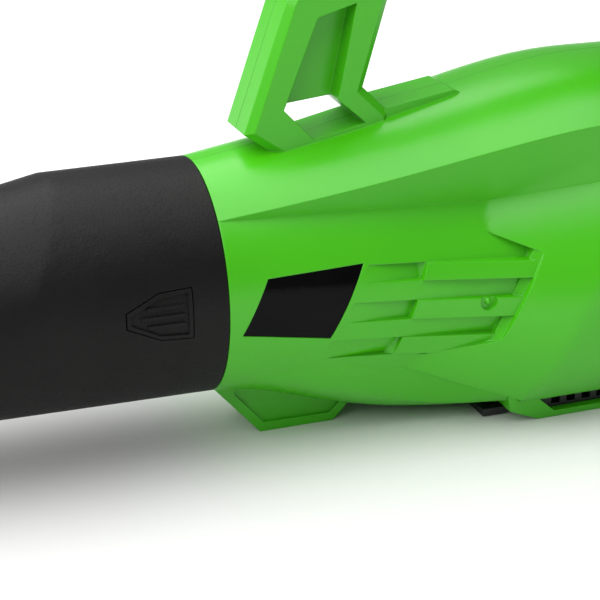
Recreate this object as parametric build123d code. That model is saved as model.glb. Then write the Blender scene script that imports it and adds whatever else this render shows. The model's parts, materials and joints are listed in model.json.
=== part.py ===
from build123d import *
from math import cos, hypot, pi, radians, sin, sqrt, tan
import os

os.makedirs("parts", exist_ok=True)

# A cordless leaf blower. While it is modelled, X runs along the fan axis with the nozzle towards -X and
# X = 0 at the seam between nozzle and body. Y = 0 is the parting plane and the left side is -Y. Z = 0 is
# the fan axis. The whole blower is moved at the end, so that it stands on Z = 0, centred in X.

# Clearances and walls
WALL = 2.5  # the body's shells
FIT = 0.1  # between seated pieces of one body
RUN = 0.4  # round every piece that moves
PARTING = 0.24  # the line between the two shells

# Core: an oblique cone round the fan duct, whose centre line falls towards the rear
SEAM_R = 48.5
CORE_TAPER = 0.04  # growth of its radius for each mm along X
CORE_DROP = 0.08  # fall of its centre for each mm along X
CORE_END = 150.0

# Hood: the upper barrel, round about the fan axis, ended below by a sloping ledge on each side
HOOD_RISE = 0.155  # slope of its top line at the seam
HOOD_POINTS = [(67.0, 60.3), (113.0, 70.7), (150.0, 77.9)]
HOOD_CREST = (180.0, 79.6)
HOOD_SHOULDER_X = 224.0
HOOD_TAIL_R = 61.0
LEDGE_POINT = (2.0, -35.0, 34.0)
LEDGE_NORMAL = (-0.026, -0.928, -0.372)

# Flare: the side swells from the core to the rear barrel between two slanted rings
RING_LEAN = 0.45  # how far a ring leans back for each mm of height
FLARE_X = 100.5
FLARE_LENGTH = 52.0
FLARE_RISE = 0.28  # slope of the flare in the fan axis's plane
FLARE_EDGE = (82.9, -38.8)  # where its lower edge starts, in X and Z
FLARE_EDGE_FALL = 0.394
SHOULDER_POINT = (113.9, -36.2, 29.1)
SHOULDER_NORMAL = (-0.180, -0.983, -0.023)
SHOULDER_TOP = 50.0

# Rear barrel and tail
BARREL_R = 66.8
BARREL_Z = -11.8
BARREL_END = 228.0
TAIL_R = 58.0
TAIL_Z = -9.0
TAIL_X = 252.0

# Belly: at each X the upper edge, the ridge (both as Y and Z) and the keel line's Z
BELLY = [
    (8.0, (-39.5, -23.0), (-36.0, -33.0), -49.0),
    (33.0, (-42.6, -25.0), (-36.6, -39.8), -55.0),
    (60.0, (-43.6, -27.5), (-36.0, -48.6), -63.8),
    (86.0, (-44.0, -31.0), (-35.0, -56.6), -69.0),
    (108.0, (-46.5, -42.0), (-38.0, -59.4), -69.5),
    (134.0, (-50.0, -52.0), (-47.5, -58.0), -69.5),
]
GROUND = -70.0

# Front keel foot
KEEL = [(3.5, -40.0), (3.5, -47.6), (23.1, -70.0), (56.1, -70.0), (63.5, -62.0), (63.5, -46.0)]
KEEL_HALF = 14.0
KEEL_PANEL = [(12.0, -42.0), (12.0, -51.0), (24.6, -65.8), (54.6, -66.2), (58.6, -62.0), (58.6, -42.0)]
KEEL_PANEL_DEPTH = 1.5

# Rear skid with its intake opening
SKID = [(121.0, -52.0), (124.5, -63.0), (139.5, -70.0), (232.0, -70.0), (238.0, -52.0)]
SKID_TOP_Z = -57.3
SKID_TOP_HALF = 48.4
SKID_HALF = 43.5
SKID_WALL = 3.0
SKID_WINDOW = [(137.5, -58.6), (146.5, -66.6), (226.0, -66.6), (228.5, -58.6)]
GRILLE_X = (117.5, 230.0)
GRILLE_PLATE = 2.2
GRILLE_SIDE = 3.0
GRILLE_SIDE_TOP = -56.0
GRILLE_SLOT = 4.2
GRILLE_PITCH = 7.4

# Louvres in the side: bars at these heights, grooves in front and ribs behind the slanted step
BAR_TOPS = [11.6, -3.1, -19.4]
BAR_HEIGHTS = [6.8, 8.1, 8.7]
BAR_X = 80.0  # where the heights are taken
BAR_FALL = 0.06
STEP_X = 78.3  # the slanted step at Z = 0
STEP_LEAN = 0.32
GROOVE_START_X = 52.0
GROOVE_START_LEAN = 0.48
GROOVE_DEPTH = 2.8
GROOVE_RAMP = 3.2
RIB_PROUD = 1.0  # height of the ribs above the core at the step
RIB_RISE = 0.078
POCKET_TOP = [(99.4, 23.8), (130.7, 11.6)]
POCKET_BOTTOM = [(112.9, -23.6), (76.6, -30.1)]
POCKET_BAND = 3.4
POCKET_BAND_DEPTH = 2.0
DIMPLE = (107.0, -6.5)
DIMPLE_R = 3.5
DIMPLE_DEPTH = 0.8
NUB_R = 1.4

# Name plates, left bare
PLATE = [(15.9, 12.5), (55.5, 13.9), (41.4, -15.6), (5.1, -9.7)]
PLATE_RECESS = 1.1
PLATE_SUNK = 0.25

# Handle: a closed loop on top of the body
HANDLE_HALF = 14.0
HANDLE_CHAMFER = 3.0
HANDLE_OUTER = [(18.6, 59.7), (36.4, 111.0), (56.0, 148.0), (92.0, 168.0), (192.0, 168.0), (238.0, 138.0)]
HANDLE_OUTER_R = [18.0, 34.0, 60.0, 55.0, 45.0]
HANDLE_REAR = [(248.0, 76.0), (236.0, 50.0), (216.0, 50.0), (216.0, 84.0)]
HANDLE_INNER = [(206.0, 116.0), (184.0, 134.0), (102.0, 134.0), (83.0, 124.0), (68.7, 74.9), (80.1, 63.9)]
HANDLE_INNER_R = [20.0, 25.0, 22.0, 16.0]
HANDLE_FOOT = [(80.1, 38.0), (49.6, 38.0)]  # the front foot is cut back under its toe
WEB = [(34.3, 69.0), (48.5, 104.8), (64.7, 109.5), (57.2, 71.4)]
WEB_HALF = 5.0
GAP = [(34.3, 69.0), (57.2, 71.4), (69.3, 60.8), (47.0, 55.8)]
PAD = [(76.0, 50.0), (78.5, 65.7), (108.5, 70.6), (113.0, 68.5), (113.0, 50.0)]
PAD_HALF = 12.5
GRIP_X = (131.0, 174.0)
GRIP_PROUD = 1.0
GRIP_SUNK = 1.2

# Fan duct, motor and fan
COLLAR_LENGTH = 50.0
COLLAR_R = 45.5
COLLAR_BORE_R = 40.3
DUCT_R = 42.0
DUCT_WALL = 2.0
DUCT_END = 122.0
MOUTH_R = 47.0
MOUTH_END = 132.0
HUB_R = 21.0
HUB_X = (40.0, 88.0)
HUB_WALL = 1.6
VANES = 7
VANE_X = (46.0, 84.0)
VANE_THICK = 2.2
BLADES = 9
FAN_X = (91.0, 116.0)
FAN_R = 41.0
FAN_HUB_R = 20.6
FAN_WALL = 2.0
FAN_BOSS_R = 6.0
BLADE_THICK = 1.8
MOTOR_R = 18.6
MOTOR_X = (44.0, 84.0)
MOTOR_WALL = 1.5
SHAFT_R = 2.5
SHAFT_X = (46.0, 122.0)
BEARING_R = 6.5
BEARING_WIDTH = 5.0
SHAFT_PLAY = 0.03  # radial clearance of the shaft in what holds it
NUT_WIDTH = 8.0
CONE_TIP_X = 6.0

# Nozzle: a straight rear tube, a slanted crease, then a taper to a round outlet
TUBE_TAPER = 0.0109
CREASE_X = -81.9
CREASE_LEAN = 0.5
NOZZLE_WALL = 2.3
OUTLET_R = 24.0
OUTLET_Z = -21.4
OUTLET_LENGTH = 16.0
NOZZLE_TIP = -292.0

# Release buttons in the sides of the nozzle
BUTTON_X = (-40.5, -14.8)
BUTTON_NOSE_X = -27.6
BUTTON_Z = 2.9
BUTTON_NOSE_HALF = 2.9
BUTTON_HALF = (9.1, 9.9)  # at the widest bend and at the rear
BUTTON_TRAVEL = 2.0
BUTTON_RIM = 1.6
BUTTON_DISH = 0.9
BUTTON_RIB = 1.3
BUTTON_RIB_PITCH = 3.6
BUTTON_BACK = 45.4  # the Y of its flat inner face
RAIL_FOOT = 43.9  # the Y of the two runners under it, which hook behind the nozzle's wall
RUNNER_Z = (3.7, 6.6)
RUNNER_OVER = 3.0
SPRING_HALF = 3.0
SPRING_THICK = 0.35
KEYWAY_FLOOR = 41.6
KEYWAY_HALF = 11.0
KEYWAY_END = -8.0

# Battery pack and its bay
BAY_X = 168.0
PACK_X = (170.0, 282.0)
PACK_HALF = 37.0
PACK_Z = (-16.0, 34.0)
PACK_SPLIT_Z = 12.0
PACK_WALL = 2.4
RAIL_Z = 26.6
RAIL_HEIGHT = 5.0
RAIL_DEPTH = 3.0
CELL_R = 9.1
CELL_LENGTH = 65.0
CELL_ROWS = 2
CELL_COLUMNS = 5
CELL_PITCH = 18.8
LATCH_X = (258.0, 274.0)
LATCH_HALF = 9.0
LATCH_TRAVEL = 3.0

# Trigger, switch and boost button in the handle
TRIGGER_PIN = (99.0, 147.0)
TRIGGER_PIN_R = 1.5
TRIGGER = [(93.5, 151.0), (104.0, 151.0), (125.5, 141.7), (125.5, 131.0), (119.0, 124.5), (107.0, 127.0),
           (98.0, 136.0), (93.5, 142.0)]
TRIGGER_HALF = 6.5
TRIGGER_SWEEP = (1.2, 3.5)  # how far past its rest the trigger reaches to the front and rear as it turns
SWITCH = (112.0, 152.0, 140.0, 165.4)  # first X and Z, last X and Z
SWITCH_HALF = 7.5
PLUNGER_X = 119.0
PLUNGER_R = 2.2
PLUNGER_REST = 145.9  # its lower end, just above the trigger's arm
PLUNGER_LENGTH = 10.0
BOOST = (74.0, 158.0)  # where its axis crosses the handle's top line
BOOST_SLOPE = 29.05  # degrees, of the handle's top line there
BOOST_R = 6.0
BOOST_TRAVEL = 2.0
BOOST_PROUD = 1.8
BOOST_LENGTH = 6.0
BOOST_FLANGE = 1.6

# Screws of the shells, as X and Z of each
SCREWS = [(26.0, -60.0), (100.0, 58.5), (148.0, 67.0), (240.0, 52.0), (156.0, -40.0), (240.0, -36.0),
          (55.0, 119.0), (200.0, 152.0), (234.0, 98.0)]
SCREW_R = 1.5
SCREW_HEAD_R = 3.0
BOSS_R = 4.2

GRILLE_NOSE_Z = -66.0
BULKHEAD_X = (6.0, 106.0)
PIN_SKIN = 0.9  # left outside each end of the trigger's pin
HEAD_SEAT = 8.0  # the Y that the screws' heads bear on
SCREW_DEPTH = 9.0
BAY_WALL = 2.2
VANE_PITCH = 12.0
FAN_CHORD = (21.0, 24.0)
FAN_PITCH = (42.0, 62.0)
MOTOR_SCREW_ANGLES = (60, 180, 300)
MOTOR_SCREW_R = 12.0
CORE_X = (54.0, 76.0)
MAGNET_R = 8.0
LEAD_X = 63.0
LEAD_R = 1.3
LEAD_PITCH = 3.4
LEAD_SLOT_HALF = 7.5
LEAD_SLOT_Z = 56.0
SWITCH_LEAD_R = 1.0
BOARD_X = (174.0, 222.0)
BOARD_HALF = 20.0
BOARD_Z = 56.0
BOARD_POST_X = (179.0, 217.0)
BOARD_POST_Y = 16.5
BOOST_SEAT = 10.0  # depth of the boost spring's rib under the handle's top line
TERMINAL_Y = (-15.0, -5.0, 5.0, 15.0)
TERMINAL_HALF = 20.0
TERMINAL_Z = (14.0, 28.0)

BIG = 1200.0
OUTSIDE = 90.0  # further to the side than any part of the body


def disc(x, radius, z=0.0):
    """A round face across X."""
    return Plane(origin=(x, 0, z), x_dir=(0, 1, 0), z_dir=(1, 0, 0)) * Circle(radius)


def slanted_disc(x, radius, z, lean):
    """A face that looks round along X, in a plane that leans back with height."""
    plane = Plane(origin=(x + lean * z, 0, z), x_dir=(0, 1, 0), z_dir=(1, 0, -lean))
    return plane * Ellipse(radius, radius * hypot(lean, 1))


def rod(x0, x1, radius, z=0.0, y=0.0):
    """A round bar along X."""
    return Pos((x0 + x1) / 2, y, z) * Rot(0, 90, 0) * Cylinder(radius, x1 - x0)


def cross_rod(x, z, y0, y1, radius):
    """A round bar along Y."""
    return Pos(x, (y0 + y1) / 2, z) * Rot(90, 0, 0) * Cylinder(radius, y1 - y0)


def block(x0, x1, y0, y1, z0, z1):
    return Pos((x0 + x1) / 2, (y0 + y1) / 2, (z0 + z1) / 2) * Box(x1 - x0, y1 - y0, z1 - z0)


def prism(points, y0, y1):
    """A solid with an outline in X and Z, between two values of Y."""
    face = make_face(Polyline(*[(x, y0, z) for x, z in points], close=True))
    return extrude(face, amount=y1 - y0, dir=(0, 1, 0))


def beyond(point, normal, inset=0.0):
    """Everything on the outer side of a plane, which may be moved inwards."""
    normal = Vector(*normal).normalized()
    plane = Plane(origin=Vector(*point) - normal * inset, z_dir=normal)
    return plane * Pos(0, 0, BIG / 2) * Box(BIG, BIG, BIG)


def group(*shapes):
    solids = [s for shape in shapes for s in (shape.solids() if not isinstance(shape, list) else
                                              [t for one in shape for t in one.solids()])]
    return solids[0] if len(solids) == 1 else Compound(children=solids)


LEFT = block(-BIG, BIG, -BIG, 0, -BIG, BIG)
LEFT_SHELL_SIDE = block(-BIG, BIG, -BIG, -PARTING / 2, -BIG, BIG)


def core_radius(x):
    return SEAM_R + CORE_TAPER * x


def core(x0, x1, grow0=0.0, grow1=0.0):
    """The core between two values of X, its surface moved out by a growth at each end."""
    ends = [disc(x, core_radius(x) + grow, -CORE_DROP * x) for x, grow in ((x0, grow0), (x1, grow1))]
    return loft(ends, ruled=True)


def hood_barrel(inset):
    """The hood's full barrel, before its ledges end it."""
    points = [(x, z - inset) for x, z in [(0, SEAM_R), *HOOD_POINTS, HOOD_CREST]]
    top = Spline(*points, tangents=[(1, HOOD_RISE), (1, 0)])
    crest = Line(points[-1], (HOOD_SHOULDER_X, HOOD_CREST[1] - inset))
    tail = Spline((HOOD_SHOULDER_X, HOOD_CREST[1] - inset), (TAIL_X, HOOD_TAIL_R - inset),
                  tangents=[(1, 0), (0.5, -1)])
    rest = Polyline((TAIL_X, HOOD_TAIL_R - inset), (TAIL_X, 0), (0, 0), (0, SEAM_R - inset))
    return revolve(Plane.XZ * make_face(top + crest + tail + rest), Axis.X)


def hood(x0, inset):
    barrel = hood_barrel(inset) & block(x0, TAIL_X, -BIG, 0, -5, BIG)
    return barrel - beyond(LEDGE_POINT, LEDGE_NORMAL, inset)


def flare(inset):
    """The swelling side with the rear barrel and tail behind it."""
    lead_in = 10.0
    centre = -CORE_DROP * FLARE_X
    start = core_radius(FLARE_X) - (FLARE_RISE - CORE_TAPER) * lead_in - inset
    front = slanted_disc(FLARE_X - lead_in, start, centre, RING_LEAN)
    rear = slanted_disc(FLARE_X + FLARE_LENGTH, BARREL_R - inset, BARREL_Z, RING_LEAN)
    side = loft([front, rear], ruled=True)
    barrel = loft([rear, disc(BARREL_END, BARREL_R - inset, BARREL_Z)], ruled=True)
    ends = [disc(BARREL_END, BARREL_R - inset, BARREL_Z), disc(TAIL_X, TAIL_R - inset, TAIL_Z)]
    tail = loft(ends, ruled=True)
    under = Plane(origin=(FLARE_EDGE[0], 0, FLARE_EDGE[1] + inset), x_dir=(1, 0, -FLARE_EDGE_FALL),
                  z_dir=(-FLARE_EDGE_FALL, 0, -1)) * Pos(0, 0, BIG / 2) * Box(BIG, BIG, BIG)
    floor = block(-BIG, BIG, -BIG, BIG, -BIG, SKID_TOP_Z + inset)
    return (((side & LEFT) - under) + (barrel & LEFT) + (tail & LEFT)) - floor


def shoulder(inset):
    """The upright facet between the flare and the hood's ledge, rounded off at the tail like the hood."""
    side = block(100 + inset, TAIL_X, -BIG, 0, 5, SHOULDER_TOP - inset) & hood_barrel(inset)
    return side - beyond(SHOULDER_POINT, SHOULDER_NORMAL, inset)


def belly(inset):
    """Lofted through sections that each have a flank, a ridge and a round keel."""
    faces = []
    for x, edge, ridge, keel in BELLY:
        (ey, ez), (ry, rz) = [(y + inset, z + inset * 0.6) for y, z in (edge, ridge)]
        keel += inset
        flank = ThreePointArc((x, ey, ez), (x, (ey + ry) / 2 - 0.9, (ez + rz) / 2 - 0.2), (x, ry, rz))
        bottom = ThreePointArc((x, ry, rz), (x, 0, keel), (x, -ry, rz))
        other = ThreePointArc((x, -ry, rz), (x, -(ey + ry) / 2 + 0.9, (ez + rz) / 2 - 0.2), (x, -ey, ez))
        faces.append(make_face(flank + bottom + other + Line((x, -ey, ez), (x, ey, ez))))
    return loft(faces) & LEFT


def bar(index, x0, x1):
    """One louvre bar as a prism that crosses the left side, between two slanted ends."""
    top = BAR_TOPS[index]
    bottom = top - BAR_HEIGHTS[index]

    def corner(end, z):
        x = end[0] + end[1] * z
        return (x, z - BAR_FALL * (x - BAR_X))

    return prism([corner(x0, top), corner(x1, top), corner(x1, bottom), corner(x0, bottom)], -OUTSIDE, -20)


def pocket_backing():
    """Where the flare's hollow stays back from the pocket's walls."""
    (v2, v3), (low, left) = POCKET_TOP, POCKET_BOTTOM
    points = [(v2[0], v2[1] + WALL + 1), (v3[0] + WALL + 1, v3[1] + WALL), (low[0] + WALL + 1, low[1] - WALL),
              (left[0], left[1] - WALL - 1)]
    return prism(points, -OUTSIDE, -20)


def pocket():
    """The notch in the flare, with a slanted band along its rear wall."""
    (v2, v3), (low, left) = POCKET_TOP, POCKET_BOTTOM
    full = prism([v2, v3, low, left], -OUTSIDE, -20)
    band_top = (v3[0] - POCKET_BAND, v3[1] + 0.3 * POCKET_BAND)
    inner = prism([v2, band_top, (low[0] - POCKET_BAND, low[1]), left], -OUTSIDE, -20)
    top = Vector(v3[0], -55.5, v3[1])
    foot = Vector(low[0], -56.7, low[1])
    inward = Vector(top.X - POCKET_BAND, top.Y + POCKET_BAND_DEPTH, top.Z)
    normal = (top - foot).cross(inward - foot)
    if normal.Y > 0:
        normal = -normal
    return inner + (full & beyond(tuple(top), tuple(normal)))


def side_form():
    """The left side's outer form with louvres, and without the handle."""
    swell = flare(0) - pocket()
    form = (core(0, CORE_END) & LEFT) + hood(0, 0) + belly(0) + swell + shoulder(0)
    envelope = core(BAR_X - 20, BAR_X + 60, RIB_PROUD - 20 * RIB_RISE, RIB_PROUD + 60 * RIB_RISE)
    slope_top = Vector(STEP_X + STEP_LEAN * 14, -48.6, 14)
    slope_low = Vector(STEP_X - STEP_LEAN * 30, -46.6, -30)
    slope_in = slope_top + Vector(-GROOVE_RAMP, GROOVE_DEPTH, 0)
    normal = (slope_top - slope_low).cross(slope_in - slope_low)
    normal = normal if normal.X > 0 else -normal
    ramp = beyond(tuple(slope_top), tuple(normal))
    wall_x = (POCKET_TOP[1][0] - 5.0, 0.46)
    for index in range(len(BAR_TOPS)):
        middle = BAR_TOPS[index] - BAR_HEIGHTS[index] / 2
        x0, x1 = GROOVE_START_X + GROOVE_START_LEAN * middle, STEP_X + STEP_LEAN * middle
        slope = GROOVE_DEPTH / (x1 - x0)
        floor = core(x0 - 12, x1 + 8, 12 * slope, -GROOVE_DEPTH - 8 * slope)
        groove = bar(index, (GROOVE_START_X, GROOVE_START_LEAN), (STEP_X + 1, STEP_LEAN))
        form -= (groove - floor) - ramp
        rib = bar(index, (STEP_X, STEP_LEAN), wall_x)
        form += rib & envelope
    return form


def handle_face():
    outer = FilletPolyline(*[(x, 0, z) for x, z in HANDLE_OUTER + HANDLE_REAR[:1]], radius=HANDLE_OUTER_R)
    inner_points = [(x, 0, z) for x, z in HANDLE_REAR[-1:] + HANDLE_INNER[:5]]
    inner = FilletPolyline(*inner_points, radius=HANDLE_INNER_R)
    rear = Polyline(*[(x, 0, z) for x, z in HANDLE_REAR])
    foot = Polyline(*[(x, 0, z) for x, z in HANDLE_INNER[4:] + HANDLE_FOOT + HANDLE_OUTER[:1]])
    return make_face(outer + rear + inner + foot)


def handle(inset, half):
    """The handle's loop on both sides of the parting plane, its edges bevelled."""
    face = handle_face()
    if inset:
        face = offset(face, -inset)
    solid = extrude(face, amount=half, dir=(0, -1, 0))
    rim = solid.faces().sort_by(Axis.Y)[0].edges()
    return chamfer(rim, HANDLE_CHAMFER) if inset == 0 else solid


def left_shell():
    """The left half of the body with its half of the handle, foot, skid and battery bay."""
    form = side_form()
    form += prism(KEEL, -KEEL_HALF, 0) + skid_form() + handle(0, HANDLE_HALF)
    form += prism(PAD, -PAD_HALF, 0) - prism(GAP, -PAD_HALF, 0)
    hollow = body_cavity() & block(WALL, TAIL_X - WALL, -BIG, BIG, -BIG, BIG)
    kept = louvre_backing() + bulkheads(hollow) + bay_walls() + board_posts()
    posts = [cross_rod(x, z, -OUTSIDE, 0, BOSS_R) for x, z in SCREWS]
    inside = handle(WALL, HANDLE_HALF - WALL) - block(-BIG, 92, -BIG, BIG, -BIG, 112) + skid_hollow()
    hollow = (hollow - kept) + inside
    for post in posts:
        hollow -= post
    for rest in handle_rests():
        hollow -= rest
    shell = form - hollow
    shell -= bay_hollow() + duct_clearance()
    for outline in (WEB, GAP):
        depth = WEB_HALF if outline is WEB else 0
        shell -= prism(outline, -30, -depth)
    shell -= prism(KEEL_PANEL, -30, -KEEL_HALF + KEEL_PANEL_DEPTH) - belly(0) - core(0, CORE_END)
    shell -= prism(SKID_WINDOW, -OUTSIDE, -30)
    shell -= prism(PLATE, -OUTSIDE, -20) - core(-5, 80, -PLATE_RECESS, -PLATE_RECESS)
    shell -= grip_space() + trigger_space() + boost_space()
    shell -= cross_rod(*DIMPLE, -OUTSIDE, -dimple_floor(), DIMPLE_R)
    shell += dimple_nub()
    shell -= cross_rod(*TRIGGER_PIN, -HANDLE_HALF + PIN_SKIN, 0, TRIGGER_PIN_R + FIT)
    for x, z in SCREWS:
        shell -= cross_rod(x, z, -SCREW_DEPTH - 1, 0, SCREW_R + SHAFT_PLAY)
    return shell & LEFT_SHELL_SIDE


def dimple_floor():
    x, z = DIMPLE
    rise = core_radius(x) + RIB_RISE * (x - BAR_X)
    return sqrt(rise ** 2 - (z + CORE_DROP * x) ** 2) - DIMPLE_DEPTH


def dimple_nub():
    x, z = DIMPLE
    floor_y = -dimple_floor()
    return Pos(x, floor_y, z) * Sphere(NUB_R) & block(-BIG, BIG, -BIG, floor_y + 0.5, -BIG, BIG)


def skid_form():
    """The rear skid's left side, slanting in towards the ground."""
    top, low = SKID_TOP_HALF, SKID_HALF
    slope = (top - low) / (SKID_TOP_Z - GROUND)
    section = [(0, SKID_TOP_Z + 4), (-top - slope, SKID_TOP_Z + 3), (-low, GROUND), (0, GROUND)]
    face = make_face(Polyline(*[(SKID[0][0], y, z) for y, z in section], close=True))
    length = SKID[-1][0] - SKID[0][0]
    return extrude(face, amount=length, dir=(1, 0, 0)) & prism(SKID, -BIG, 0)


def skid_hollow():
    """Room for the intake grille, open below and into the body."""
    x0, x1 = GRILLE_X
    half = SKID_HALF - SKID_WALL
    front = SKID[2][0] + SKID_WALL
    return block(front, x1 + FIT, -half, 0, GROUND - 1, SKID_TOP_Z + 6) + block(
        x0 - FIT, front + 1, -half + 6, 0, GROUND - 1, GRILLE_NOSE_Z)


def body_cavity():
    return ((core(WALL, CORE_END, -WALL, -WALL) & LEFT) + hood(WALL, WALL) + belly(WALL)
            + (flare(WALL) - pocket_backing()) + shoulder(WALL))


def louvre_backing():
    """Extra thickness behind the grooves."""
    x0, x1 = GROOVE_START_X - 16, BAR_X + 6
    ring = core(x0, x1, 0, 0) - core(x0, x1, -GROOVE_DEPTH - WALL, -GROOVE_DEPTH - WALL)
    return ring & block(x0, x1, -BIG, -30, -36, 16)


def bulkheads(hollow):
    plates = [hollow & block(x, x + WALL, -BIG, 0, -BIG, BIG) for x in BULKHEAD_X]
    slot = block(BULKHEAD_X[0] - 1, BULKHEAD_X[-1] + 4, -LEAD_SLOT_HALF, 0, 0, LEAD_SLOT_Z)
    return (plates[0] + plates[1]) - slot


def duct_clearance():
    return rod(-5, DUCT_END - 0.5, DUCT_R + DUCT_WALL + FIT) & LEFT


def bay_box(grow, x0, x1):
    return block(x0, x1, -PACK_HALF - grow, 0, PACK_Z[0] - grow, PACK_Z[1] + grow)


def bay_walls():
    return bay_box(RUN + BAY_WALL, BAY_X - BAY_WALL, TAIL_X)


def bay_hollow():
    """The battery bay, open at the rear, with a rail left standing in its side."""
    rail = block(BAY_X + 6, TAIL_X - 4, -PACK_HALF - RUN - 1, -PACK_HALF + RAIL_DEPTH - RUN,
                 RAIL_Z + RUN, RAIL_Z + RAIL_HEIGHT - RUN)
    terminals = block(BAY_X - BAY_WALL - 1, BAY_X + 1, -TERMINAL_HALF - FIT, 0, TERMINAL_Z[0] - FIT,
                      TERMINAL_Z[1] + FIT)
    return bay_box(RUN, BAY_X, TAIL_X + 1) - rail + terminals


def board_posts():
    """Posts on the bay's roof that carry the control board."""
    roof = PACK_Z[1] + RUN + BAY_WALL
    return [Pos(x, -BOARD_POST_Y, (roof - 1 + BOARD_Z) / 2) * Cylinder(3.0, BOARD_Z - roof + 1 - FIT)
            for x in BOARD_POST_X]


def handle_rests():
    """Ribs inside the handle that carry the switch and the boost button's spring."""
    x0, z0, x1, z1 = SWITCH
    shelf = block(x1 - 4, x1 + 2, -HANDLE_HALF, -PLUNGER_R - 1, z0 - 2 - FIT, z0 - FIT)
    stop = block(x1 + FIT, x1 + 2, -HANDLE_HALF, -4.5, z0 - 2, z1)
    return [shelf, stop, boost_frame() * block(-BOOST_R - 3, BOOST_R + 3, -HANDLE_HALF, 0,
                                               -BOOST_SEAT - 2, -BOOST_SEAT)]


def boost_frame():
    """The boost button's own frame: its local Z comes out of the handle's top."""
    return Pos(BOOST[0], 0, BOOST[1]) * Rot(0, -BOOST_SLOPE, 0)


def boost_space():
    frame = boost_frame()
    hole = frame * Cylinder(BOOST_R + RUN, 12) & LEFT
    under = frame * Pos(0, 0, -BOOST_SEAT / 2 - WALL / 2) * Cylinder(
        BOOST_R + BOOST_FLANGE + RUN + 0.2, BOOST_SEAT - WALL) & LEFT
    return hole + under


def trigger_space():
    """The slot in the grip's underside, and the room that the trigger turns in."""
    x0 = min(x for x, z in TRIGGER) - TRIGGER_SWEEP[0]
    x1 = max(x for x, z in TRIGGER) + TRIGGER_SWEEP[1]
    return block(x0, x1, -TRIGGER_HALF - RUN, 0, TRIGGER[4][1] - 4, TRIGGER[0][1] + 3)


def grip_space():
    x0, x1 = GRIP_X
    z0, z1 = HANDLE_INNER[1][1] - 9, HANDLE_OUTER[3][1] + 9
    return block(x0 - FIT, x1 + FIT, -HANDLE_HALF - 9, 0, z0, z1) - handle(GRIP_SUNK, HANDLE_HALF - GRIP_SUNK)


def grip_sleeve():
    x0, x1 = GRIP_X
    z0, z1 = HANDLE_INNER[1][1] - 9, HANDLE_OUTER[3][1] + 9
    outer = extrude(offset(handle_face(), GRIP_PROUD), amount=HANDLE_HALF + GRIP_PROUD, dir=(0, -1, 0))
    outer = outer & block(x0, x1, -BIG, 0, z0, z1)
    outer = fillet(outer.edges().filter_by(Axis.X).group_by(Axis.Y)[0], HANDLE_CHAMFER + 2)
    half = outer - handle(GRIP_SUNK - FIT, HANDLE_HALF - GRIP_SUNK + FIT)
    grooves = [block(x, x + 1.6, -BIG, -HANDLE_HALF - GRIP_PROUD + 0.7, z0 + 17, z1 - 19)
               for x in [x0 + 5 + 5.0 * n for n in range(7)]]
    for groove in grooves:
        half -= groove
    return half + mirror(half, Plane.XZ)


def right_shell(left):
    """The mirrored half, with screw tunnels in place of pilot holes."""
    shell = mirror(left, Plane.XZ)
    outside = (side_form() + handle(0, HANDLE_HALF) + prism(KEEL, -KEEL_HALF, 0))
    outside = mirror(outside, Plane.XZ)
    for x, z in SCREWS:
        tunnel_end = HEAD_SEAT - FIT / 2
        wall = (cross_rod(x, z, PARTING / 2, 90, SCREW_HEAD_R + RUN + 1.6) & outside) - beside_handle(x, z)
        if z < SKID_TOP_Z or z > HOOD_CREST[1] + 20:
            wall = cross_rod(x, z, PARTING / 2, tunnel_end, BOSS_R)
        shell += wall
        shell -= cross_rod(x, z, tunnel_end, 90, SCREW_HEAD_R + RUN)
        shell -= cross_rod(x, z, -1, tunnel_end, SCREW_R + FIT)
    return shell


def beside_handle(x, z):
    """Keeps a screw's wall clear of the bay and the duct."""
    bay = mirror(bay_box(RUN, BAY_X, TAIL_X + 1), Plane.XZ)
    return bay + mirror(duct_clearance(), Plane.XZ)


def screws():
    made = []
    for x, z in SCREWS:
        shank = cross_rod(x, z, -SCREW_DEPTH, HEAD_SEAT, SCREW_R)
        head = cross_rod(x, z, HEAD_SEAT, HEAD_SEAT + 2.2, SCREW_HEAD_R)
        made.append(shank + head - cross_socket(x, z, HEAD_SEAT + 2.2))
    return made


def cross_socket(x, z, y, size=2.6, width=0.7, depth=1.2):
    """The cross recess of a screw whose head faces +Y."""
    return block(x - size / 2, x + size / 2, y - depth, y + 1, z - width / 2, z + width / 2) + block(
        x - width / 2, x + width / 2, y - depth, y + 1, z - size / 2, z + size / 2)


def name_plate():
    back = -PLATE_RECESS + FIT / 2
    ring = core(-5, 80, -PLATE_SUNK, -PLATE_SUNK) - core(-5, 80, back, back)
    face = offset(make_face(Polyline(*[(x, -60, z) for x, z in PLATE], close=True)), -FIT)
    return extrude(face, amount=40, dir=(0, 1, 0)) & ring


def intake_grille():
    """A black tray of slats that closes the skid from inside."""
    x0, x1 = GRILLE_X
    low = GROUND + 0.7
    half = SKID_HALF - SKID_WALL - FIT
    front = SKID[2][0] + SKID_WALL + FIT
    tray = block(front, x1, -half, half, low, GRILLE_SIDE_TOP)
    tray -= block(front + GRILLE_SIDE, x1 - GRILLE_SIDE, -half + GRILLE_SIDE, half - GRILLE_SIDE,
                  low + GRILLE_PLATE, BIG)
    nose = block(x0, front + GRILLE_SIDE, -half + 6, half - 6, low, GRILLE_NOSE_Z - FIT)
    tray += nose
    count = int((x1 - front - 2 * GRILLE_SIDE) / GRILLE_PITCH)
    first = (front + x1 - (count - 1) * GRILLE_PITCH) / 2
    for n in range(count):
        x = first + n * GRILLE_PITCH
        for y0, y1 in ((-half + 5, -1.5), (1.5, half - 5)):
            tray -= block(x - GRILLE_SLOT / 2, x + GRILLE_SLOT / 2, y0, y1, low - 1, low + GRILLE_PLATE + 1)
        tray -= block(x - GRILLE_SLOT / 2, x + GRILLE_SLOT / 2, -BIG, BIG, low + 4, GRILLE_SIDE_TOP - 2)
    return tray


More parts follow.
